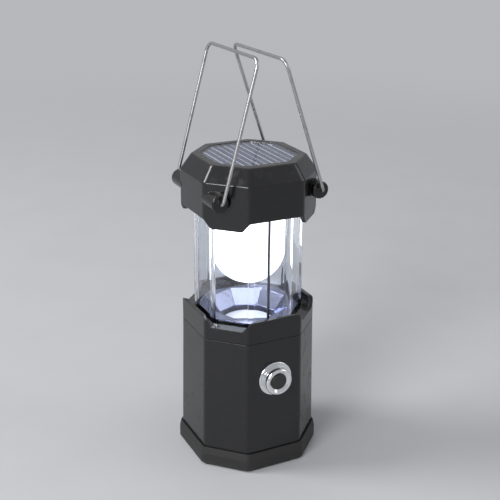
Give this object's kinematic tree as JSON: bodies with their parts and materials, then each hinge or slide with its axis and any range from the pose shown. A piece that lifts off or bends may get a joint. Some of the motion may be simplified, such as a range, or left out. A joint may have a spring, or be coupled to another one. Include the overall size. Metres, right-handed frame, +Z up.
{
  "type": "camping lantern",
  "caption": "Eight-sided pull-up camping lantern: a black cap and clear lamp tube slide up out of a black base with a push button; wire bails swing on the cap.",
  "frame": {"origin": "middle of the underside, on the plane the lantern stands on", "axes": "+Z up along the lantern's axis, -Y out of the face with the push button, the bails pivot on lines along Y at -X and +X"},
  "size_m": [0.0866, 0.0915, 0.2724],
  "materials": {
    "black_plastic": "black moulded plastic, satin",
    "black_rubber": "black rubber, matt",
    "clear_plastic": "clear moulded plastic",
    "milky_plastic": "milky plastic, lit from inside",
    "white_plastic": "white plastic",
    "silvered_plastic": "plastic with a bright silvered face",
    "bright_metal": "polished bright plating",
    "steel": "bright drawn steel",
    "cell_can": "sleeved cell can",
    "circuit_board": "green board",
    "solar_cells": "dark blue cells with fine silver lines",
    "lead_sheath": "black flexible sheath"
  },
  "bodies": {
    "base": {"base_shell": "black_plastic", "base_collar": "black_plastic", "grip_ring": "black_rubber", "foot_ring": "black_rubber", "bottom_cover": "black_plastic", "cover_screws": "steel", "battery_deck": "black_plastic", "battery_cells": "cell_can", "battery_contacts": "steel", "charge_board": "circuit_board", "charge_socket": "steel", "button_bezel": "bright_metal", "push_switch": "black_plastic", "lead_loop": "lead_sheath"},
    "head": {"clear_tube": "clear_plastic", "reflector_dish": "silvered_plastic", "reflector_disc": "white_plastic", "bulb_diffuser": "milky_plastic", "led_board": "circuit_board", "led_lamps": "clear_plastic", "cap_tray": "black_plastic", "cap_screws": "steel", "cap_shell": "black_plastic", "solar_panel": "solar_cells", "solar_cover": "clear_plastic", "tube_lead": "lead_sheath"},
    "bail_left": {"left_bail": "steel"},
    "bail_right": {"right_bail": "steel"},
    "button": {"power_button": "black_plastic"},
    "flap": {"port_flap": "black_rubber"}
  },
  "joints": [
    {"name": "lift", "type": "slide", "parent": "base", "child": "head", "axis": [0, 0, 1], "range_m": [-0.0658, 0], "deforming": ["lead_loop"]},
    {"name": "left_bail_swing", "type": "hinge", "parent": "head", "child": "bail_left", "pos_m": [-0.03458, 0, 0.186], "axis": [0, -1, 0], "range_deg": [-6.9, 189.1]},
    {"name": "right_bail_swing", "type": "hinge", "parent": "head", "child": "bail_right", "pos_m": [0.03458, 0, 0.186], "axis": [0, 1, 0], "range_deg": [-3.1, 192.9]},
    {"name": "button_press", "type": "slide", "parent": "base", "child": "button", "axis": [0, 1, 0], "range_m": [0, 0.0012], "stiffness_N_per_m": 1200, "springref_m": -0.0008},
    {"name": "flap_swing", "type": "hinge", "parent": "base", "child": "flap", "pos_m": [0, 0.04267, 0.0202], "axis": [1, 0, 0], "range_deg": [0, 120]}
  ]
}
